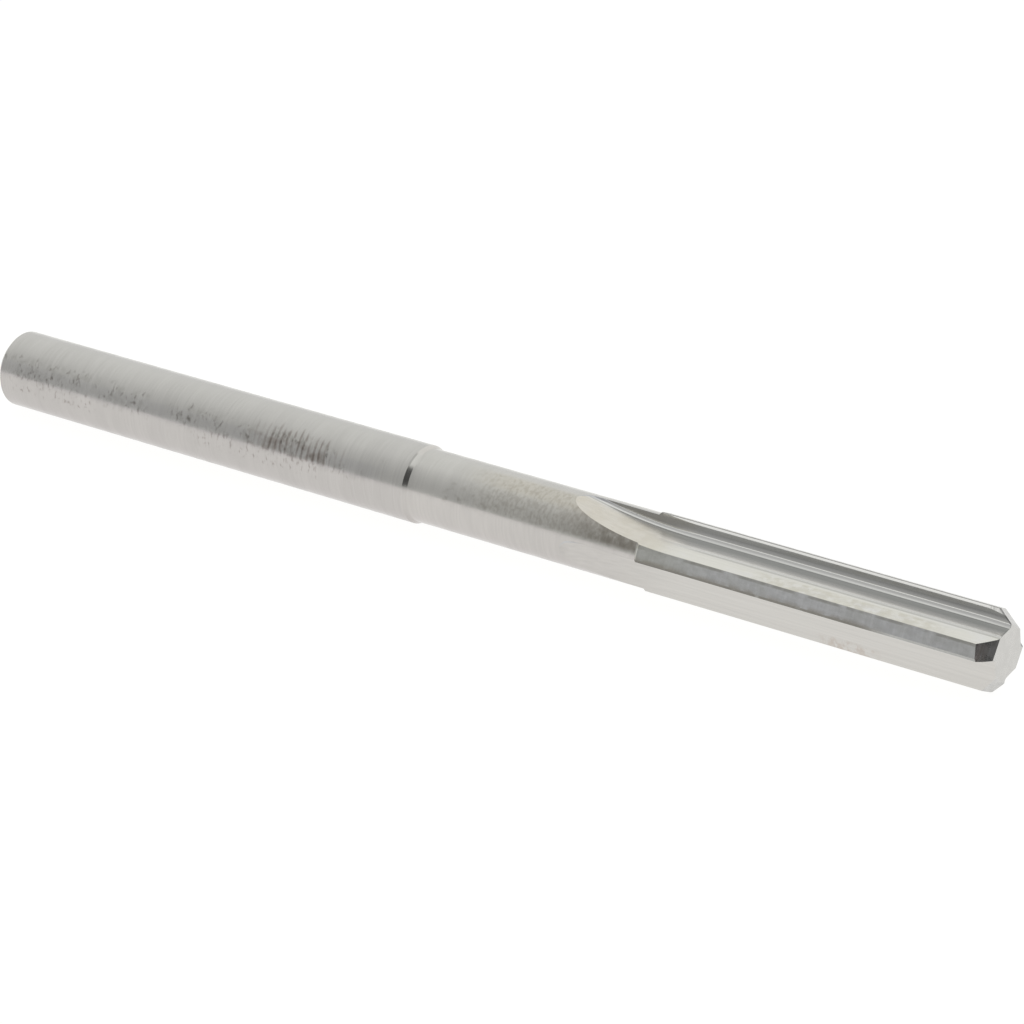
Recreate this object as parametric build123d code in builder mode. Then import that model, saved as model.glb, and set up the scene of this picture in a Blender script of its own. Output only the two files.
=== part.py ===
from build123d import *
from math import acos, cos, degrees, radians, sin, tan
import os

# Straight-flute machine reamer, ground from one solid rod. Millimetres and degrees.
# It lies on its side: the axis is X, from the middle of the shank's end face at the origin
# to the cutting end, and +Z is up.

# Lengths along the axis
overall_length = 70.6
shank_length = 31.7
cutting_length = 22.45
full_flute_length = 20.2

# Shank, relieved neck and cutting section
shank_diameter = 4.73
neck_diameter = 4.42
cutting_diameter = 4.76
shank_end_chamfer = 0.34
shank_shoulder_angle = 19.0
cutting_shoulder_angle = 45.0

# Lead chamfer at the cutting end: its length along the axis and its angle from the axis
lead_length = 0.66
lead_angle = 45.0

# Teeth: the flute floors touch the core circle, and widths are measured round the rim
tooth_count = 4
core_diameter = 2.82
land_width = 0.92
margin_width = 0.15
rake_land_width = 0.12
rake_angle = 7.0
clearance_angle = 15.0
lead_relief_angle = 28.0
flute_root_radius = 0.29

# Radius of the grinding wheel, which it leaves behind where the flutes run out on the neck
wheel_radius = 34.0

# The lowest cutting edge stands this far round from straight down
resting_roll = 6.13

shank_radius = shank_diameter / 2
neck_radius = neck_diameter / 2
cutting_radius = cutting_diameter / 2
core_radius = core_diameter / 2
shank_shoulder = (shank_radius - neck_radius) / tan(radians(shank_shoulder_angle))
cutting_shoulder = (cutting_radius - neck_radius) / tan(radians(cutting_shoulder_angle))
cutting_start = overall_length - cutting_length
neck_end = cutting_start - cutting_shoulder
full_flute_start = overall_length - full_flute_length
lead_start = overall_length - lead_length
lead_radius = cutting_radius - lead_length * tan(radians(lead_angle))

# Each grinding pass below is drawn for one tooth in the tool's own end view: Z runs along
# the tool towards the tip, X through the cutting edge, and Y the way the tooth moves.
# A pass reaches this far past the metal that it removes.
overrun = cutting_radius


def across(angle):
    """Direction in the end view at this angle from the cutting edge."""
    return Vector(cos(radians(angle)), sin(radians(angle)))


# Flute: the wheel's side grinds the rake face and its rim grinds the floor, from the
# cutting edge to the heel of the tooth ahead. The rake face is radial along the edge, and
# hooked below that land. The rim then lifts out along its own circle.
rake_land_foot = across(0) * (cutting_radius - rake_land_width)
rake_land_side = across(0) * (rake_land_width + overrun)
heel_angle = 360 / tooth_count - degrees(land_width / cutting_radius)
floor_normal_angle = heel_angle - degrees(acos(core_radius / cutting_radius))
foot_above_floor = rake_land_foot.dot(across(floor_normal_angle)) - core_radius
rake_height = foot_above_floor / cos(radians(floor_normal_angle - rake_angle))
flute_root = rake_land_foot - across(rake_angle) * rake_height
floor_side = across(floor_normal_angle + 90) * (cutting_radius + overrun)

with BuildPart() as flute:
    with BuildSketch(Plane.XY.offset(full_flute_start)) as wheel_profile:
        with BuildLine():
            Polyline(
                flute_root,
                rake_land_foot,
                rake_land_foot + rake_land_side,
                rake_land_foot + rake_land_side + floor_side,
                flute_root + floor_side,
                close=True,
            )
        make_face()
        fillet(wheel_profile.vertices().sort_by_distance(flute_root)[0], flute_root_radius)
    extrude(amount=full_flute_length + overrun)
    wheel_centre = (core_radius + wheel_radius, 0, full_flute_start)
    revolve(wheel_profile.sketch, axis=Axis(wheel_centre, (0, -1, 0)), revolution_arc=90)

# Clearance: a flat behind the narrow round margin, along the whole cutting section
margin_end = -degrees(margin_width / cutting_radius)
with BuildPart() as clearance:
    with BuildSketch(Plane.XY.offset(neck_end)):
        with BuildLine():
            Polyline(
                across(margin_end) * cutting_radius,
                across(margin_end) * cutting_radius
                + across(margin_end - 90 - clearance_angle) * cutting_radius,
                across(margin_end) * (cutting_radius + overrun),
                close=True,
            )
        make_face()
    extrude(amount=cutting_length + cutting_shoulder + overrun)

# Lead relief: a flat through the chamfered cutting edge, which falls away behind it
chamfered_edge = Vector(-sin(radians(lead_angle)), 0, cos(radians(lead_angle)))
relief_fall = across(-90 - lead_relief_angle)
lead_relief_plane = Plane(
    origin=(cutting_radius, 0, lead_start),
    x_dir=chamfered_edge,
    z_dir=chamfered_edge.cross(relief_fall),
)
with BuildPart() as lead_relief:
    with BuildSketch(lead_relief_plane):
        Rectangle(
            2 * (lead_length + overrun),
            cutting_diameter,
            align=(Align.CENTER, Align.MIN),
        )
    extrude(amount=overrun)

# The reamer: the turned rod, with each tooth's flute, clearance and lead relief ground in
with BuildPart(Plane.YZ) as reamer:
    with BuildSketch(Plane.XZ):
        with BuildLine():
            Polyline(
                (0, 0),
                (0, shank_radius - shank_end_chamfer),
                (shank_end_chamfer, shank_radius),
                (shank_length, shank_radius),
                (shank_length + shank_shoulder, neck_radius),
                (neck_end, neck_radius),
                (cutting_start, cutting_radius),
                (lead_start, cutting_radius),
                (overall_length, lead_radius),
                (overall_length, 0),
                close=True,
            )
        make_face()
    revolve(axis=Axis.X)
    with PolarLocations(0, tooth_count, start_angle=-90 - resting_roll):
        add(flute.part, mode=Mode.SUBTRACT)
        add(clearance.part, mode=Mode.SUBTRACT)
        add(lead_relief.part, mode=Mode.SUBTRACT)

os.makedirs("parts", exist_ok=True)
reamer.part.label = "reamer"
export_step(reamer.part, "parts/reamer.step")
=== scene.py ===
from math import cos, pi, radians, sin, tan

import bmesh
import bpy
import numpy as np
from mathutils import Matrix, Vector


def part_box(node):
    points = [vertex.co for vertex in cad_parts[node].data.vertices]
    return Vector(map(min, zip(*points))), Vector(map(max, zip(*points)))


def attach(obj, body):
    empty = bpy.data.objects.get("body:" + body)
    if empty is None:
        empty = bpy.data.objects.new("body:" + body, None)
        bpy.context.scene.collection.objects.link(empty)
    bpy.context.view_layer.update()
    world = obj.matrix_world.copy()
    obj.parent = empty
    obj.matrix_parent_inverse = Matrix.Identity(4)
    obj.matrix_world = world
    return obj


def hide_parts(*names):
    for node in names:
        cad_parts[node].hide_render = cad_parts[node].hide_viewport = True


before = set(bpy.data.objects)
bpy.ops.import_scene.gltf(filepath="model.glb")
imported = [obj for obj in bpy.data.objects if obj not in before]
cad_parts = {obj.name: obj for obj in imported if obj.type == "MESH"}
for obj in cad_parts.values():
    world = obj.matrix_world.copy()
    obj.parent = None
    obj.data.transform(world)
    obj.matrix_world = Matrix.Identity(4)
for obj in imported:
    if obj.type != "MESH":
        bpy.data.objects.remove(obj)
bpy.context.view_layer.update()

# Reamer: one rod of solid carbide, its shank and neck ground round, then the flutes, the
# margins, the clearance behind them and the relieved lead chamfer ground into its end. The
# axis is X, from the shank's end at 0 to the cutting end, and the tool lies on its side.
mm = 0.001
overall_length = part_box("reamer")[1].x
shank_length = 31.7 * mm
cutting_length = 22.45 * mm
full_flute_length = 20.2 * mm
lead_length = 0.66 * mm
shank_radius = 2.365 * mm
neck_radius = 2.21 * mm
cutting_radius = 2.38 * mm
core_radius = 1.41 * mm
shank_end_chamfer = 0.34 * mm
shank_shoulder = (shank_radius - neck_radius) / tan(radians(19))
cutting_start = overall_length - cutting_length
neck_end = cutting_start - (cutting_radius - neck_radius)
full_flute_start = overall_length - full_flute_length
lead_start = overall_length - lead_length
teeth = 4
tooth_pitch = 2 * pi / teeth
first_edge = radians(-96.13)
land_width = 0.92 * mm
heel = tooth_pitch - land_width / cutting_radius
margin_width = 0.15 * mm
margin_end = -margin_width / cutting_radius
rake_land = 0.12 * mm
rake = radians(7)
clearance = radians(15)
lead_relief = radians(28)
root_fillet = 0.29 * mm
run_out_fillet = 0.22 * mm
floor_hollow = 0.035 * mm
wheel_radius = 34 * mm
wheel_centre = core_radius + wheel_radius
edge_wear = 0.012 * mm

# The rod before the flutes, as places along the axis with their radii. The shoulder between
# shank and neck eases off at its foot.
shoulder_foot = shank_length + 0.3 * mm
foot_height = 0.01 * mm
shoulder_end = shank_length + shank_shoulder
turned_x, turned_r = np.array(
    [
        (0, shank_radius - shank_end_chamfer),
        (shank_end_chamfer, shank_radius),
        (shank_length, shank_radius),
        (shoulder_foot, neck_radius + foot_height),
        (shoulder_end, neck_radius),
        (neck_end, neck_radius),
        (cutting_start, cutting_radius),
        (overall_length, cutting_radius),
    ]
).T


def land_radius(angle, x):
    """Distance from the axis to the rod's skin, at an angle from the cutting edge of its tooth.

    It is the least of three: the turned radius, the clearance flat that starts at the margin's
    end, and the lead relief flat that starts at the chamfered edge. A flat's distance is its
    nearest distance over the cosine of the angle from its normal.
    """
    turned = np.interp(x, turned_x, turned_r)
    cleared = cutting_radius * cos(clearance) / np.cos(angle - margin_end + clearance)
    cleared = np.where((x > neck_end) & (angle < margin_end), cleared, turned)
    edge = cutting_radius - (x - lead_start)
    relieved = edge * cos(lead_relief) / np.cos(angle + lead_relief)
    return np.minimum(np.minimum(turned, cleared), relieved)


def lead_boundary(angle):
    """The place along the axis where the lead relief flat meets the land.

    There the chamfered edge's radius, which falls as fast as x rises, gives the relief flat the
    land's own distance from the axis. The land is the same all along the full flute.
    """
    land = land_radius(angle, np.full_like(angle, full_flute_start))
    return lead_start + cutting_radius - land * np.cos(angle + lead_relief) / cos(lead_relief)


# The wheel's profile starts above the rim and is long enough to pass the heel.
above_rim = 0.4 * mm
profile_length = 5.1 * mm
profile_samples = 3000


def wheel_profile(root_radius):
    """Points round the flute's section, from above the rake face, round the root, past the heel.

    The rake face is radial along the cutting edge, and turns by the rake angle at the foot of
    that land. The floor lies at right angles to its normal, as far from the axis as the core's
    radius, and dips below that line by a shallow parabola. An arc that touches both joins
    them. Points are evenly spaced along the length.
    """
    normal = heel - np.arccos(core_radius / cutting_radius)
    side = np.array([cos(rake), sin(rake)])
    floor = np.array([-sin(normal), cos(normal)])
    foot = np.array([cutting_radius - rake_land, 0])
    depth = (foot[0] * cos(normal) - core_radius) / cos(normal - rake)
    root = foot - side * depth
    half_turn = np.arccos(side @ floor) / 2
    reach = root_radius / np.tan(half_turn)
    middle = root + (side + floor) / np.linalg.norm(side + floor) * root_radius / np.sin(half_turn)
    land = rake_land + above_rim
    arc_from = land + depth - reach
    arc_to = arc_from + root_radius * (pi - 2 * half_turn)
    along = np.linspace(0, profile_length, profile_samples)[:, None]
    on_land = foot + np.array([1, 0]) * (land - along)
    on_side = foot - side * (along - land)
    turn = (along - arc_from) / root_radius
    inward = np.array([sin(rake), -cos(rake)])
    on_arc = middle + root_radius * (np.cos(turn) * inward - np.sin(turn) * side)
    heel_point = cutting_radius * np.array([cos(heel), sin(heel)])
    share = (along - arc_to) / ((heel_point - root) @ floor - reach)
    dip = floor_hollow * 4 * share * (1 - share) * np.array([cos(normal), sin(normal)])
    on_floor = root + floor * (reach + along - arc_to) - dip
    points = np.where(along < land, on_land, on_side)
    points = np.where(along > arc_from, on_arc, points)
    points = np.where(along > arc_to, on_floor, points)
    return points, along[:, 0], land, arc_from, arc_to


profile, profile_at, land_foot, fillet_from, fillet_to = wheel_profile(root_fillet)
tighter = wheel_profile(run_out_fillet)[0] - profile

# Behind the full flute the root tightens and the rake land fades out over these lengths. Near
# the tip the land widens by a share of the way.
tightening_length = 1.2 * mm
land_fading_length = 2.6 * mm
widening_length = 1.45 * mm
widening_share = 0.17


def land_widening(x):
    """How much deeper the radial land reaches near the tip: it widens steadily."""
    return widening_share * np.maximum(x - (overall_length - widening_length), 0)


def flute_point(at, x):
    """A point of the flute in the tooth's end view, at a length along the wheel's profile.

    The wheel grinds straight along until the full flute's start. Behind it each point of the
    profile lifts along a circle about the wheel's centre, so its height is the centre's less
    the root of its radius squared less the distance behind squared. There the root is rounded
    more tightly, and the radial land narrows as the hooked face reaches further up. Where that
    land widens at the tip, the hooked face below it comes forward.
    """
    behind = np.maximum(full_flute_start - x, 0)
    tight = np.clip(behind / tightening_length, 0, 1)
    height = np.interp(at, profile_at, profile[:, 0])
    height = height + tight * np.interp(at, profile_at, tighter[:, 0])
    across = np.interp(at, profile_at, profile[:, 1])
    across = across + tight * np.interp(at, profile_at, tighter[:, 1])
    fading = np.clip((fillet_to - at) / (fillet_to - fillet_from), 0, 1)
    forward = across + land_widening(x) * tan(rake) * fading
    across = np.where(at < fillet_from, np.minimum(forward, 0), forward)
    hooked = rake_land * np.clip(behind / land_fading_length, 0, 1)
    hooked = np.clip(height - (cutting_radius - rake_land), 0, hooked)
    across = across + hooked * tan(rake)
    lifted = wheel_centre - np.sqrt((wheel_centre - height) ** 2 - behind**2)
    return lifted, across


def flute_sides(x):
    """Lengths along the profile where the flute breaks through the skin, on its two sides.

    The gap between profile and skin is worked out all along the profile at each x, and its
    first and last changes of sign are found between two samples by proportion.
    """
    height, across = flute_point(profile_at[None, :], x[:, None])
    angle = np.arctan2(across, height)
    tooth_ahead = angle > tooth_pitch / 2
    skin = land_radius(angle - tooth_pitch * tooth_ahead, x[:, None] + 0 * angle)
    gap = np.hypot(height, across) - skin
    inside = gap < 0
    rows = np.arange(len(x))
    first = np.clip(inside.argmax(1), 1, None)
    last = np.clip(len(profile_at) - 1 - inside[:, ::-1].argmax(1), None, len(profile_at) - 2)
    step = profile_at[1]
    share = gap[rows, first - 1] / (gap[rows, first - 1] - gap[rows, first])
    edge_side = profile_at[first - 1] + share * step
    share = gap[rows, last] / (gap[rows, last] - gap[rows, last + 1])
    heel_side = profile_at[last] + share * step
    return edge_side, heel_side


longest_run_out = 6 * mm
run_out_samples = 1200


def flute_exit():
    """The place where the wheel leaves the neck, and its length along the profile.

    There the profile's nearest point to the axis has risen to the neck's radius.
    """
    x = np.linspace(neck_end - longest_run_out, neck_end, run_out_samples)
    height, across = flute_point(profile_at[None, :], x[:, None])
    radius = np.hypot(height, across)
    nearest = radius.min(1)
    leave = np.interp(-neck_radius, -nearest, x)
    row = np.abs(x - leave).argmin()
    return leave, profile_at[radius[row].argmin()]


exit_x, exit_at = flute_exit()


def rows_between(start, end, count, power=1.0):
    """Places from start up to, but without, end. A power over 1 crowds them at the start."""
    return start + (end - start) * np.linspace(0, 1, count, endpoint=False) ** power


# Rows across the axis are straight until just before the lead. From there they bend.
bend_start = lead_start - 0.8 * mm
row_x = np.concatenate(
    [
        rows_between(0, shank_end_chamfer, 4),
        rows_between(shank_end_chamfer, shank_length, 32),
        rows_between(shank_length, shoulder_foot, 3),
        rows_between(shoulder_foot, shoulder_end, 3),
        rows_between(shoulder_end, exit_x, 12),
        rows_between(exit_x, neck_end, 48, 1.8),
        rows_between(neck_end, cutting_start, 8),
        rows_between(cutting_start, full_flute_start, 20),
        rows_between(full_flute_start, bend_start, 24),
    ]
)
before_lead = np.linspace(0, 1, 8, endpoint=False)
along_lead = np.linspace(0, 1, 12)

# Columns round one tooth: over its skin from the heel to the edge, and through its flute
clearance_columns = 24
margin_columns = 4
land_columns = 4
wall_columns = 8
fillet_columns = 22
floor_columns = 20

# Shares: what the margin's columns take of the skin on the neck, the most that an edge's wear
# takes of the skin and of the flute, and the least that each strip above the floor takes of it.
neck_margin_share = 0.15
most_wear_of_skin = 1 / 40
most_wear_of_flute = 1 / 60
least_strip = 0.04


def columns_between(start, end, count, whole=False):
    """Evenly spaced columns from each row's start up to its end, which only whole takes in."""
    share = np.linspace(0, 1, count, endpoint=whole)
    return start[:, None] + (end - start)[:, None] * share


def bent_rows(angle):
    """Places along the axis of each row, at the angles of its columns.

    Rows are straight until they bend. Then they lean steadily over to the boundary of the lead
    relief flat, and beyond it they come back evenly to straight at the end face.
    """
    straight = np.repeat(row_x[:, None], angle.shape[1], 1)
    boundary = lead_boundary(angle[len(row_x) :])
    leaning = bend_start + (boundary[: len(before_lead)] - bend_start) * before_lead[:, None]
    last = boundary[len(before_lead) :]
    returning = last + (overall_length - last) * along_lead[:, None]
    return np.concatenate([straight, leaning, returning])


def tooth_sides():
    """Where each row crosses the cutting edge and the heel, and which rows the flute misses.

    A crossing is a place along the axis, a length along the wheel's profile and an angle from
    the cutting edge. At the heel these depend on each other where rows bend, and four rounds
    settle them. Behind the flute's exit both crossings take the exit's point of the profile.
    """
    leaning = bend_start + (lead_start - bend_start) * before_lead
    edge_x = np.concatenate([row_x, leaning, np.linspace(lead_start, overall_length, len(along_lead))])
    closed = edge_x <= exit_x
    in_flute = np.maximum(edge_x, exit_x)
    edge_at = np.where(closed, exit_at, flute_sides(in_flute)[0])
    height, across = flute_point(edge_at, in_flute)
    edge_angle = np.arctan2(across, height)
    heel_angle = np.full(len(edge_x), heel - tooth_pitch)
    for _ in range(4):
        heel_x = bent_rows(heel_angle[:, None])[:, 0]
        in_flute = np.maximum(heel_x, exit_x)
        heel_at = flute_sides(in_flute)[1]
        height, across = flute_point(heel_at, in_flute)
        heel_angle = np.arctan2(across, height) - tooth_pitch
    heel_at = np.where(closed, exit_at, heel_at)
    heel_angle = np.where(closed, edge_angle - tooth_pitch, heel_angle)
    return (edge_x, edge_at, edge_angle), (heel_x, heel_at, heel_angle), closed


def skin_grid(edge, heel_side, closed):
    """Places, radii and angles over the skin: from the heel over the clearance and the margin.

    Angles are even over each of the two, and each corner is cut back by its wear.
    """
    edge_x, _, edge_angle = edge
    _, _, heel_angle = heel_side
    wear = np.minimum(edge_wear / neck_radius, (edge_angle - heel_angle) * most_wear_of_skin)
    wear = np.where(closed, 0, wear)
    skin_from = heel_angle + wear
    skin_to = edge_angle - wear
    on_neck = skin_to + (skin_from - skin_to) * neck_margin_share
    margin_from = np.where(edge_x > neck_end, margin_end, on_neck)
    cleared = columns_between(skin_from, margin_from, clearance_columns)
    margin = columns_between(margin_from, skin_to, margin_columns, whole=True)
    angle = np.concatenate([cleared, margin], 1)
    x = bent_rows(angle)
    return x, land_radius(angle, x), angle


def flute_grid(edge, heel_side, closed):
    """Places, radii and angles through the flute: down its rake face, round and over the floor.

    Columns are even over each of the radial land, the hooked face, the root's arc and the
    floor, and x passes evenly from the edge's to the heel's. Behind the exit all the columns
    lie at one place of the profile, on the turned neck.
    """
    edge_x, edge_at, _ = edge
    heel_x, heel_at, _ = heel_side
    wear = np.minimum(edge_wear, (heel_at - edge_at) * most_wear_of_flute)
    wear = np.where(closed, 0, wear)
    flute_from = edge_at + wear
    flute_to = heel_at - wear
    least = least_strip * (flute_to - flute_from)
    land_to = land_foot + land_widening(edge_x) / cos(rake)
    land_to = np.maximum(land_to, flute_from + least)
    wall_to = np.maximum(fillet_from, land_to + least)
    arc_to = np.maximum(fillet_to, wall_to + least)
    land_to, wall_to, arc_to = (np.where(closed, exit_at, at) for at in (land_to, wall_to, arc_to))
    at = np.concatenate(
        [
            columns_between(flute_from, land_to, land_columns),
            columns_between(land_to, wall_to, wall_columns),
            columns_between(wall_to, arc_to, fillet_columns),
            columns_between(arc_to, flute_to, floor_columns, whole=True),
        ],
        1,
    )
    # Closed rows have no width, and any other number leaves their places as they are.
    width = np.where(closed, 1, heel_at - edge_at)
    x = edge_x[:, None] + (heel_x - edge_x)[:, None] * (at - edge_at[:, None]) / width[:, None]
    height, across = flute_point(at, np.maximum(x, exit_x))
    radius = np.hypot(height, across)
    radius = np.where(closed[:, None], np.interp(x, turned_x, turned_r), radius)
    return x, radius, np.arctan2(across, height)


def rod_grid():
    """Rows along the axis by columns round one tooth pitch, as places, radii and angles.

    Columns run over the skin to the cutting edge and then through the flute to the next heel.
    The last row steps in by the wear, from the worn rim to the flat end face.
    """
    edge, heel_side, closed = tooth_sides()
    skin = skin_grid(edge, heel_side, closed)
    through_flute = flute_grid(edge, heel_side, closed)
    x, radius, angle = (np.concatenate(halves, 1) for halves in zip(skin, through_flute))
    end_face = np.full_like(x[-1:], overall_length)
    x[-1] = overall_length - edge_wear
    x = np.concatenate([x, end_face])
    radius = np.concatenate([radius, radius[-1:] - edge_wear])
    angle = np.concatenate([angle, angle[-1:]])
    return x, radius, angle


def rod_mesh(name):
    """The grid turned to each tooth in turn and joined round, with both ends closed flat."""
    x, radius, angle = rod_grid()
    turns = first_edge + tooth_pitch * np.arange(teeth)
    angle = (angle[:, None, :] + turns[None, :, None]).reshape(len(x), -1)
    x = np.tile(x, (1, teeth))
    radius = np.tile(radius, (1, teeth))
    points = np.stack([x, radius * np.cos(angle), radius * np.sin(angle)], 2)
    rows, columns = x.shape
    index = np.arange(rows * columns).reshape(rows, columns)
    ahead = np.roll(index, -1, 1)
    quads = np.stack([index[:-1], index[1:], ahead[1:], ahead[:-1]], 2).reshape(-1, 4)
    ends = [index[0].tolist(), index[-1][::-1].tolist()]
    mesh = bpy.data.meshes.new(name)
    mesh.from_pydata(points.reshape(-1, 3), [], quads.tolist() + ends)
    return mesh, rows


mesh, rows = rod_mesh("ground_reamer")

# The finish of each face, first by its column round the tooth, where the worn edge goes with
# the rake land, and then by its row. Behind the cutting section the skin is ground round, at
# the shoulder the radial land is still rake face, and the lead's skin has a finish of its own.
on_rod, on_clearance, on_margin, on_rake_land, on_rake_face, on_flute, on_lead, on_end = range(8)
strips = [
    (on_clearance, clearance_columns),
    (on_margin, margin_columns - 1),
    (on_rake_land, land_columns + 1),
    (on_rake_face, wall_columns),
    (on_flute, fillet_columns + floor_columns),
]
strip_finishes, strip_widths = zip(*strips)
finish = np.tile(np.repeat(strip_finishes, strip_widths), (rows - 1, teeth))
row = np.arange(rows - 1)[:, None]
skin = finish < on_rake_land
rod_rows = row < np.searchsorted(row_x, neck_end)
finish = np.where(rod_rows & skin, on_rod, finish)
shoulder_rows = row < np.searchsorted(row_x, cutting_start + 0.1 * mm)
finish = np.where(shoulder_rows & (finish == on_rake_land), on_rake_face, finish)
finish = np.where(row < np.searchsorted(row_x, exit_x), on_rod, finish)
lead_rows = row >= len(row_x) + len(before_lead)
finish = np.where(lead_rows & skin, on_lead, finish)
finish = np.concatenate([finish.ravel(), [on_rod, on_end]]).astype(np.int32)
mesh.polygons.foreach_set("material_index", finish)

welding = bmesh.new()
welding.from_mesh(mesh)
bmesh.ops.remove_doubles(welding, verts=welding.verts, dist=0.0001 * mm)
bmesh.ops.recalc_face_normals(welding, faces=welding.faces)
welding.to_mesh(mesh)
welding.free()
mesh.shade_smooth()
mesh.set_sharp_from_angle(angle=radians(6))

reamer = bpy.data.objects.new("ground_reamer", mesh)
bpy.context.scene.collection.objects.link(reamer)


# Ground finishes: bare tungsten carbide as each wheel left it, with fine lines one way, stains
# where coolant has dried, and some painted highlights and painted shade. The first class also
# serves the floor and the light.
class NodeTree:
    """Adds nodes to the tree of a material or of the world."""

    def __init__(self, owner):
        owner.use_nodes = True
        self.nodes = owner.node_tree.nodes
        self.links = owner.node_tree.links

    def node(self, kind, settings=(), **inputs):
        """A node with its settings, and with its inputs set or linked by name."""
        node = self.nodes.new(kind)
        for name, value in dict(settings).items():
            setattr(node, name, value)
        for name, value in inputs.items():
            self.feed(node.inputs[name.replace("_", " ")], value)
        return node

    def feed(self, socket, value):
        """Links a socket to another, or sets it to a value."""
        if isinstance(value, bpy.types.NodeSocket):
            self.links.new(value, socket)
        else:
            socket.default_value = value

    def feed_in_order(self, sockets, values):
        for socket, value in zip(sockets, values):
            self.feed(socket, value)

    def math(self, operation, *values):
        node = self.node("ShaderNodeMath", {"operation": operation})
        self.feed_in_order(node.inputs, values)
        return node.outputs[0]

    def ramp(self, value, low, high, to_low=0.0, to_high=1.0):
        """Turns a value between two ends smoothly into another, and holds it outside them."""
        node = self.node("ShaderNodeMapRange", {"interpolation_type": "SMOOTHSTEP"})
        self.feed_in_order(node.inputs, (value, low, high, to_low, to_high))
        return node.outputs[0]

    def mix(self, factor, first, second, blend="MIX"):
        """The first colour where the factor is 0, and blended with the second where it is 1."""
        node = self.node("ShaderNodeMix", {"data_type": "RGBA", "blend_type": blend})
        self.feed_in_order((node.inputs[0], node.inputs[6], node.inputs[7]), (factor, first, second))
        return node.outputs[2]


class Finish(NodeTree):
    """The nodes of one ground finish: bare carbide, with marks laid one over the other.

    Marks multiply the colour by their own where a mask is 1. Masks come from windows on x in
    millimetres, on the way round in degrees below the -Y side, on the way round in degrees from
    each tooth's cutting edge, and on the distance across the flute from that edge's radius, and
    from noise in millimetres that is stretched along or round.
    """

    def __init__(self, name, colour, roughness):
        self.material = bpy.data.materials.new(name)
        super().__init__(self.material)
        self.shader = self.nodes["Principled BSDF"]
        self.shader.inputs["Metallic"].default_value = 1
        self.shader.inputs["Roughness"].default_value = roughness
        self.shader.inputs["Base Color"].default_value = (*colour, 1)
        self.colour = (*colour, 1)
        place = self.node("ShaderNodeTexCoord").outputs["Object"]
        per_mm = (1 / mm, 1 / mm, 1 / mm)
        self.place = self.node("ShaderNodeMapping", Vector=place, Scale=per_mm).outputs[0]
        self.x, y, z = self.node("ShaderNodeSeparateXYZ", Vector=self.place).outputs
        self.radius = self.math("SQRT", self.math("MULTIPLY_ADD", y, y, self.math("MULTIPLY", z, z)))
        turn = self.math("ARCTAN2", self.math("MULTIPLY", z, -1.0), self.math("MULTIPLY", y, -1.0))
        self.round = self.math("MULTIPLY", turn, 180 / pi)
        pitches = self.math("MULTIPLY_ADD", turn, 1 / tooth_pitch, -first_edge / tooth_pitch)
        self.tooth = self.math("MULTIPLY", self.math("FRACT", pitches), 360 / teeth)
        # The tenth of a pitch behind the edge counts as below 0, not as the end of a pitch.
        from_behind = self.math("FRACT", self.math("ADD", pitches, 0.1))
        past_edge = self.math("MULTIPLY", self.math("SUBTRACT", from_behind, 0.1), tooth_pitch)
        self.across = self.math("MULTIPLY", self.radius, self.math("SINE", past_edge))

    def window(self, value, low, high, soft):
        """1 between two ends, fading to 0 over a soft width beyond each."""
        rise = self.ramp(value, low - soft, low)
        fall = self.ramp(value, high, high + soft, 1.0, 0.0)
        return self.math("MULTIPLY", rise, fall)

    def noise(self, along, around, low=0.3, high=0.7, detail=2.0, shift=0.0):
        """Noise with so many features a millimetre along the axis and round it, as 0 to 1."""
        place = self.node(
            "ShaderNodeMapping",
            Vector=self.place,
            Location=(shift, shift * 0.7, -shift),
            Scale=(along, around, around),
        )
        noise = self.node("ShaderNodeTexNoise", Vector=place.outputs[0], Scale=1.0, Detail=detail)
        return self.ramp(noise.outputs["Fac"], low, high)

    def both(self, *masks):
        """1 where every mask is 1."""
        mask = masks[0]
        for other in masks[1:]:
            mask = self.math("MULTIPLY", mask, other)
        return mask

    def mark(self, mask, colour):
        """Multiplies the colour so far by this one where the mask is 1."""
        self.colour = self.mix(mask, self.colour, (*colour, 1), "MULTIPLY")
        self.links.new(self.colour, self.shader.inputs["Base Color"])

    def lines(self, along, around, depth, shade):
        """Grinding lines: shallow relief and a slight shade, stretched one way, and worn patches."""
        fine = self.noise(along, around, 0.2, 0.8, 4.0)
        bump = self.node("ShaderNodeBump", Strength=1.0, Distance=depth * mm, Height=fine)
        self.links.new(bump.outputs[0], self.shader.inputs["Normal"])
        self.mark(fine, (1 - shade, 1 - shade, 1 - shade))
        rough = self.shader.inputs["Roughness"]
        worn = self.noise(along / 8, around, 0.3, 0.7, 2.0, 5.0)
        level = rough.default_value
        self.links.new(self.ramp(worn, 0.0, 1.0, level * 0.85, level * 1.15), rough)


# Shank and neck: the plain rod, ground round, with lines that run round it. The shank is a
# little darker than the neck. The underside is tinted and darker than the top, as painted shade,
# and the shoulder between shank and neck has a painted highlight on top and painted shade at its
# side. These places along the axis are in the finishes' millimetres.
shank_stop = shank_length / mm
neck_stop = neck_end / mm
cutting_from = cutting_start / mm
turned = Finish("round_ground", (0.585, 0.578, 0.545), 0.22)
turned.lines(9.0, 0.4, 0.0004, 0.07)
# Painted shade: the underside is tinted and a little darker than the top.
turned.mark(turned.window(turned.round, -14, 120, 2), (0.985, 0.96, 0.98))
turned.mark(turned.ramp(turned.x, shank_stop - 0.1, shank_stop, 1.0, 0.0), (0.955, 0.955, 0.96))
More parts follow.
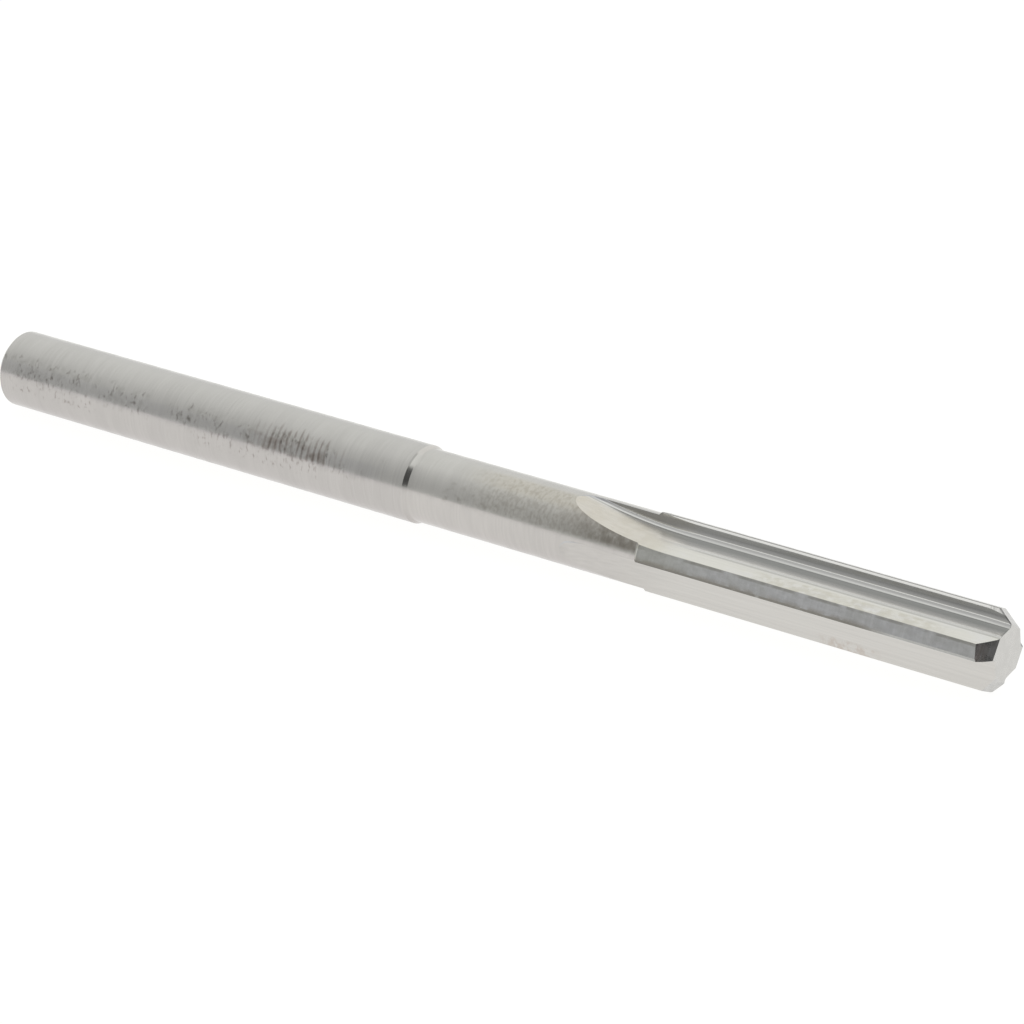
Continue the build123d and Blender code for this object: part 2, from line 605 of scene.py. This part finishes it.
# Painted highlight: a bright ring over the top of the shoulder.
shoulder_top_highlight = turned.both(
    turned.window(turned.x, shank_stop + 0.01, shank_stop + 0.25, 0.05),
    turned.window(turned.round, -140, -84, 16),
)
turned.mark(shoulder_top_highlight, (1.15, 1.13, 1.13))
# Painted shade: a dark band on the shoulder at its side.
shoulder_side_shade = turned.both(
    turned.window(turned.x, shank_stop - 0.04, shank_stop + 0.05, 0.03),
    turned.window(turned.round, -68, -52, 8),
)
turned.mark(shoulder_side_shade, (0.74, 0.74, 0.74))
# Painted shade: further down the underside is darker still.
turned.mark(turned.ramp(turned.round, 15, 50), (0.945, 0.93, 0.935))
turned.mark(turned.noise(0.9, 0.2, 0.35, 0.65, 1.0, 3.0), (0.97, 0.97, 0.97))

# Dried coolant on the shank: a faint band, a haze and dark specks in patches along its side,
# and paler specks in two groups below them.
side = turned.window(turned.round, -38, -17, 15)
patches = turned.noise(0.5, 0.5, 0.36, 0.58, 1.0, 9.0)
on_shank = turned.window(turned.x, 0, 29, 1.5)
turned.mark(turned.both(turned.window(turned.round, -30, -15, 8), on_shank), (0.96, 0.96, 0.975))
haze = turned.noise(2.6, 2.0, 0.4, 0.7, 5.0, 13.0)
turned.mark(turned.both(side, patches, haze, on_shank), (0.86, 0.86, 0.85))
specks = turned.noise(4.0, 2.5, 0.53, 0.75, 4.0, 1.0)
turned.mark(turned.both(side, patches, specks, on_shank), (0.47, 0.45, 0.43))
below_side = turned.window(turned.round, -14, 6, 8)
two_groups = turned.math(
    "ADD", turned.window(turned.x, 1.6, 7.6, 0.8), turned.window(turned.x, 16.5, 25, 1)
)
low_specks = turned.noise(4.0, 2.5, 0.52, 0.7, 4.0, 17.0)
turned.mark(turned.both(below_side, two_groups, low_specks), (0.7, 0.68, 0.67))

# Ticks on the shank: a row of short dark marks that run part of the way round. They waver and
# end raggedly at the top, with fainter ones beyond them and a smudge among them.
tick_spacing = 0.41
waver = turned.noise(1.2, 0.6, 0.2, 0.8, 2.0, 21.0)
tick_phase = turned.math("MULTIPLY", turned.x, 2 * pi / tick_spacing)
tick_phase = turned.math("MULTIPLY_ADD", waver, 1.9, tick_phase)
ticks = turned.ramp(turned.math("SINE", tick_phase), -0.2, 1.0)
ragged = turned.math("MULTIPLY_ADD", turned.noise(2.4, 0.1, 0.3, 0.7, 1.0, 45.0), 14.0, turned.round)
tick_reach = turned.both(turned.ramp(ragged, -48, -34), turned.ramp(turned.round, -18, -9, 1.0, 0.0))
ticked = turned.window(turned.x, 21.7, 25.6, 0.6)
uneven = turned.noise(2.4, 1.7, 0.24, 0.62, 3.0, 25.0)
turned.mark(turned.both(ticks, tick_reach, ticked, uneven), (0.66, 0.62, 0.605))
beyond = turned.both(turned.window(turned.x, 20.4, 27, 0.5), turned.noise(2.0, 0.9, 0.4, 0.66, 2.0, 28.0))
turned.mark(turned.both(ticks, tick_reach, beyond), (0.86, 0.84, 0.83))
smudge = turned.both(
    turned.window(turned.round, -30, -18, 8),
    turned.window(turned.x, 20.2, 25.6, 0.6),
    turned.noise(1.6, 1.6, 0.42, 0.64, 4.0, 31.0),
)
turned.mark(smudge, (0.74, 0.7, 0.675))

# Film on the neck: a thin yellowish one over its side, mottled, with a few specks near the
# shank, and dark dried coolant that thickens towards the flutes.
neck_only = turned.ramp(turned.x, neck_stop - 0.08, neck_stop, 1.0, 0.0)
film = turned.both(turned.ramp(turned.x, 34.5, 39), neck_only)
tarnish = turned.both(film, turned.window(turned.round, -78, -62, 14))
turned.mark(tarnish, (0.99, 0.972, 0.935))
side_film = turned.both(film, turned.window(turned.round, -78, -22, 10))
turned.mark(side_film, (0.98, 0.975, 0.955))
turned.mark(turned.both(side_film, turned.noise(5.2, 3.6, 0.4, 0.64, 5.0, 37.0)), (0.85, 0.84, 0.825))
neck_specks = turned.both(
    turned.window(turned.x, 34.8, 38, 0.9), side, turned.noise(2.2, 2.8, 0.48, 0.8, 4.0, 53.0)
)
turned.mark(neck_specks, (0.8, 0.79, 0.77))
dried = turned.both(
    turned.ramp(turned.x, 41.2, 46.6),
    neck_only,
    turned.window(turned.round, -60, -23, 8),
    turned.noise(1.8, 1.9, 0.1, 0.62, 5.0, 41.0),
)
turned.mark(dried, (0.6, 0.575, 0.55))

# Clearance behind each margin: a flat, ground with lines straight across it. The shoulder where
# it starts has a painted highlight, the flat is brightest in patches along its middle, and it has
# grey stains along the heel and brown ones along the margin.
cleared = Finish("clearance_ground", (0.63, 0.635, 0.625), 0.2)
cleared.lines(7.0, 0.5, 0.0005, 0.08)
cleared.mark(cleared.noise(2.2, 3.0, 0.3, 0.7, 5.0, 2.0), (0.88, 0.88, 0.87))
bare = cleared.both(cleared.window(cleared.x, 54, 67, 2), cleared.noise(0.6, 1.0, 0.35, 0.6, 2.0, 3.0))
cleared.mark(bare, (1.03, 1.03, 1.05))
# Painted highlight on the shoulder where the clearance starts.
shoulder = cleared.both(
    cleared.window(cleared.x, neck_stop + 0.01, cutting_from - 0.03, 0.02),
    cleared.window(cleared.round, -30, -5, 3),
)
cleared.mark(shoulder, (1.5, 1.5, 1.5))
cleared.mark(cleared.ramp(cleared.x, 49, 53, 1.0, 0.0), (0.93, 0.93, 0.89))
heel_stain = cleared.both(
    cleared.window(cleared.tooth, 60, 69.5, 2.5), cleared.noise(0.9, 1.2, 0.36, 0.58, 4.0, 7.0)
)
cleared.mark(heel_stain, (0.72, 0.71, 0.67))
margin_stain = cleared.both(
    cleared.ramp(cleared.tooth, 80, 87),
    cleared.ramp(cleared.x, 62, 65.5, 1.0, 0.0),
    cleared.noise(1.6, 1.5, 0.3, 0.55, 3.0, 11.0),
)
cleared.mark(margin_stain, (0.76, 0.72, 0.67))

# Margins: the narrow round strips that touch the hole, ground round with the rest of the rod.
# They are stained dark nearly all along, and clean near the tip.
margin = Finish("margin_ground", (0.44, 0.44, 0.425), 0.2)
margin.lines(6.0, 0.5, 0.0003, 0.1)
clean = margin.both(margin.ramp(margin.x, 62.5, 65), margin.window(margin.round, -30, 0, 5))
dull = margin.both(margin.math("SUBTRACT", 1.0, clean), margin.noise(1.6, 1.6, 0.14, 0.42, 3.0))
margin.mark(dull, (0.5, 0.48, 0.45))

# Rake land: the narrow radial face along each cutting edge, honed bright, with striations at
# the tip. All along the chamfered edge x and the radius add up to the same length.
chamfer_sum = (lead_start + cutting_radius) / mm
land = Finish("rake_land_ground", (0.72, 0.72, 0.7), 0.12)
land.lines(0.3, 9.0, 0.0002, 0.06)
striations = land.both(land.ramp(land.x, 69.1, 69.4), land.noise(9.0, 0.5, 0.4, 0.6, 1.0, 5.0))
land.mark(striations, (0.72, 0.72, 0.72))
# Painted shade: a darker strip along the chamfered edge.
tip_edge_shade = land.ramp(land.math("ADD", land.x, land.radius), chamfer_sum - 0.18, chamfer_sum - 0.12)
land.mark(tip_edge_shade, (0.5, 0.5, 0.51))

# Rake face: the hooked face below that land, ground by the side of the wheel, with fine lines
# along the flute and a darker strip of painted shade beside the chamfered edge.
rake_face = Finish("rake_face_ground", (0.555, 0.56, 0.565), 0.12)
rake_face.lines(0.12, 9.0, 0.0003, 0.14)
edge_sum = rake_face.math("ADD", rake_face.x, rake_face.radius)
beside_edge_shade = rake_face.ramp(edge_sum, chamfer_sum - 0.18, chamfer_sum - 0.12)
rake_face.mark(beside_edge_shade, (0.7, 0.7, 0.71))

# Flute root and floor: ground by the wheel's rim, with lines along the flute, and rougher where
# the wheel ran out on the neck. On the upper side, bands along the flutes by their distance across
# from the cutting edge are painted highlights and painted shade, and a darker line runs further out.
flute = Finish("flute_floor_ground", (0.73, 0.73, 0.71), 0.12)
flute.lines(0.12, 8.0, 0.0003, 0.08)
rough = flute.shader.inputs["Roughness"]
run_out_rough = flute.ramp(flute.x, 48, 51.5, 0.27, 0.1)
flute.links.new(flute.math("MAXIMUM", rough.links[0].from_socket, run_out_rough), rough)
upper = flute.window(flute.round, -95, -12, 1)
straight = flute.both(upper, flute.ramp(flute.x, 47.8, 49.2))
# Painted highlights and painted shade in bands across the upper flutes' root and floor.
root_highlight_painted = flute.both(
    straight,
    flute.window(flute.radius, 1.595, 1.7, 0.02),
    flute.window(flute.across, -0.2, 0, 0.02),
)
flute.mark(root_highlight_painted, (1.26, 1.26, 1.27))
flute.mark(flute.both(upper, flute.window(flute.across, 0.04, 0.12, 0.025)), (0.76, 0.765, 0.75))
flute.mark(flute.both(straight, flute.window(flute.across, 0.18, 0.46, 0.04)), (1.13, 1.14, 1.11))
further = flute.both(upper, flute.ramp(flute.x, 48.3, 49.7))
flute.mark(flute.both(further, flute.window(flute.across, 0.5, 0.86, 0.06)), (1.32, 1.3, 1.28))
dark_line = flute.both(
    upper, flute.ramp(flute.x, 49.8, 52.0), flute.window(flute.across, 1.03, 1.12, 0.05)
)
flute.mark(dark_line, (0.76, 0.76, 0.75))
heel_edge = flute.both(upper, flute.ramp(flute.tooth, 66.4, 67.2))
flute.mark(heel_edge, (0.74, 0.73, 0.7))

# Stains in the flutes: a yellowish tarnish where they run out and along the heel, and mottling
# beside it. The flutes below are darker as painted shade, and have a few spots.
heel_tarnish = flute.both(flute.ramp(flute.tooth, 34, 50), flute.noise(0.5, 1.2, 0.2, 0.55, 3.0, 3.0))
flute.mark(flute.both(straight, heel_tarnish), (0.98, 0.972, 0.92))
run_out = flute.both(upper, flute.ramp(flute.x, 47.5, 51, 1.0, 0.0), flute.ramp(flute.across, -0.05, 0.4))
flute.mark(run_out, (0.945, 0.91, 0.84))
flute.mark(flute.both(run_out, flute.noise(1.2, 1.2, 0.35, 0.65, 4.0, 8.0)), (0.96, 0.95, 0.93))
mottle = flute.both(
    straight,
    flute.window(flute.tooth, 53, 66, 5),
    flute.window(flute.x, 57, 66, 3),
    flute.noise(2.2, 2.8, 0.3, 0.66, 5.0, 5.0),
)
flute.mark(mottle, (0.86, 0.845, 0.8))
# Painted shade: the flutes below are darker all along, and more so towards where they run out.
painted_lower_shade = flute.window(flute.round, -8, 80, 1)
flute.mark(painted_lower_shade, (0.865, 0.845, 0.83))
flute.mark(flute.both(painted_lower_shade, flute.ramp(flute.x, 45, 50, 1.0, 0.0)), (0.94, 0.93, 0.935))
flute.mark(flute.both(painted_lower_shade, flute.ramp(flute.x, 42.4, 43.6, 1.0, 0.0)), (0.88, 0.88, 0.88))
spots = flute.both(
    flute.window(flute.round, 53, 63, 6),
    flute.window(flute.x, 60.2, 62.8, 0.9),
    flute.noise(3.4, 2.4, 0.4, 0.64, 5.0, 9.0),
)
flute.mark(spots, (0.9, 0.85, 0.82))

# Relieved lead chamfer and end face: the last surfaces ground. The chamfer of the tooth at the
# side has a painted highlight over most of it and is stained in streaks across it, and the end
# face has only faint lines.
lead = Finish("lead_ground", (0.6, 0.595, 0.58), 0.26)
lead.lines(7.0, 2.0, 0.0002, 0.2)
near = lead.window(lead.round, -32, -2, 3)
# Painted highlight: the side tooth's chamfer is lightened, fading out towards the tip.
pale = lead.both(near, lead.ramp(lead.x, 69.95, 70.5, 1.0, 0.0), lead.ramp(lead.round, -20, -9, 0.15, 1.0))
lead.mark(pale, (1.45, 1.41, 1.39))
burnt = lead.both(near, lead.ramp(lead.x, 70.1, 70.4, 1.0, 0.0), lead.noise(9.0, 0.8, 0.35, 0.6, 3.0, 4.0))
lead.mark(burnt, (0.9, 0.855, 0.83))
lead.mark(lead.both(near, lead.noise(9.0, 0.4, 0.45, 0.6, 1.0, 12.0)), (1.12, 1.12, 1.15))
end = Finish("end_ground", (0.6, 0.593, 0.572), 0.3)
end.lines(3.0, 2.0, 0.00001, 0.03)

for ground in (turned, cleared, margin, land, rake_face, flute, lead, end):
    mesh.materials.append(ground.material)

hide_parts("reamer")
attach(reamer, "root")

# Floor: a plain pale sweep under the tool. It shows white to the camera and in the metal,
# and keeps the tool's soft shadow.
floor_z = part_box("reamer")[0].z
floor_reach = 3.0
floor_corners = ((-1, -1), (1, -1), (1, 1), (-1, 1))
floor_mesh = bpy.data.meshes.new("floor")
floor_mesh.from_pydata(
    [(x * floor_reach, y * floor_reach, floor_z) for x, y in floor_corners], [], [(0, 1, 2, 3)]
)
floor = bpy.data.objects.new("floor", floor_mesh)
bpy.context.scene.collection.objects.link(floor)
floor_material = bpy.data.materials.new("floor_white")
floor_mesh.materials.append(floor_material)
sweep = NodeTree(floor_material)
sweep.nodes.clear()
rays = sweep.node("ShaderNodeLightPath").outputs
seen_or_mirrored = sweep.math("MAXIMUM", rays["Is Camera Ray"], rays["Is Glossy Ray"])
shown = sweep.math("MAXIMUM", seen_or_mirrored, rays["Is Transmission Ray"])
glow_strength = sweep.math("MULTIPLY", shown, 0.97)
glow = sweep.node("ShaderNodeEmission", Color=(1, 0.996, 0.985, 1), Strength=glow_strength)
matt = sweep.node("ShaderNodeBsdfDiffuse", Color=(0.1, 0.1, 0.1, 1))
added = sweep.node("ShaderNodeAddShader")
sweep.feed_in_order(added.inputs, (matt.outputs[0], glow.outputs[0]))
sweep.node("ShaderNodeOutputMaterial", Surface=added.outputs[0])

# Light: a white tent round the tool. It is brightest behind and overhead, dimmer towards the
# camera's side, and dark in the camera's opening, but for a pale sill under that opening.
camera_azimuth = radians(35.7231)
camera_elevation = radians(23.8734)
world = bpy.data.worlds.new("light_tent")
bpy.context.scene.world = world
tent = NodeTree(world)
tent.nodes.clear()
direction = tent.node("ShaderNodeTexCoord").outputs["Generated"]
camera_side = (sin(camera_azimuth), -cos(camera_azimuth), 0)
product = tent.node("ShaderNodeVectorMath", {"operation": "DOT_PRODUCT"})
tent.feed_in_order(product.inputs, (direction, camera_side))
towards_camera = product.outputs["Value"]
height = tent.node("ShaderNodeSeparateXYZ", Vector=direction).outputs["Z"]

# Levels of the cloth by how far a direction points to the camera's side, from -1 to 1
tent_levels = [
    (-1, 0.88),
    (-0.96, 0.91),
    (-0.87, 0.965),
    (-0.76, 0.975),
    (-0.57, 0.942),
    (-0.34, 0.883),
    (-0.15, 0.813),
    (0.03, 0.726),
    (0.17, 0.642),
    (0.26, 0.575),
    (0.4, 0.565),
    (0.5, 0.55),
    (0.55, 0.11),
    (1, 0.08),
]
cloth = tent.node("ShaderNodeValToRGB", Fac=tent.math("MULTIPLY_ADD", towards_camera, 0.5, 0.5))
while len(cloth.color_ramp.elements) < len(tent_levels):
    cloth.color_ramp.elements.new(1)
for stop, (ahead, level) in zip(cloth.color_ramp.elements, tent_levels):
    stop.position = (ahead + 1) / 2
    stop.color = (level, level, level, 1)

# The angles above the floor where the tent's top and the sill begin, and where each is full
top_begins = radians(57)
top_full = radians(66)
sill_begins = radians(7)
sill_full = radians(3.5)
opening_edge = 0.52
overhead = tent.ramp(height, sin(top_begins), sin(top_full))
topped = tent.mix(overhead, cloth.outputs["Color"], (1.05, 1.05, 1.05, 1))
low_down = tent.ramp(height, sin(sill_begins), sin(sill_full))
in_opening = tent.math("GREATER_THAN", towards_camera, opening_edge)
tent_colour = tent.mix(tent.math("MULTIPLY", low_down, in_opening), topped, (0.9, 0.9, 0.9, 1))
tent_light = tent.node("ShaderNodeBackground", Color=tent_colour)
white = tent.node("ShaderNodeBackground", Color=(1, 0.998, 0.99, 1))
seen_by_camera = tent.node("ShaderNodeLightPath").outputs["Is Camera Ray"]
light = tent.node("ShaderNodeMixShader")
tent.feed_in_order(light.inputs, (seen_by_camera, tent_light.outputs[0], white.outputs[0]))
tent.node("ShaderNodeOutputWorld", Surface=light.outputs[0])

# Camera: a long lens from above the cutting end, on the photograph's line of sight.
camera_data = bpy.data.cameras.new("camera")
camera_data.sensor_width = 36
camera_data.lens = 139.99
camera = bpy.data.objects.new("camera", camera_data)
camera.location = (160.87 * mm, -170.892 * mm, 93.014 * mm)
forward = Vector((-sin(camera_azimuth), cos(camera_azimuth), 0)) * cos(camera_elevation)
forward.z = -sin(camera_elevation)
camera.rotation_mode = "QUATERNION"
camera.rotation_quaternion = forward.to_track_quat("-Z", "Y")
bpy.context.scene.collection.objects.link(camera)
bpy.context.scene.camera = camera
bpy.context.scene.view_settings.view_transform = "Standard"

bpy.context.view_layer.update()
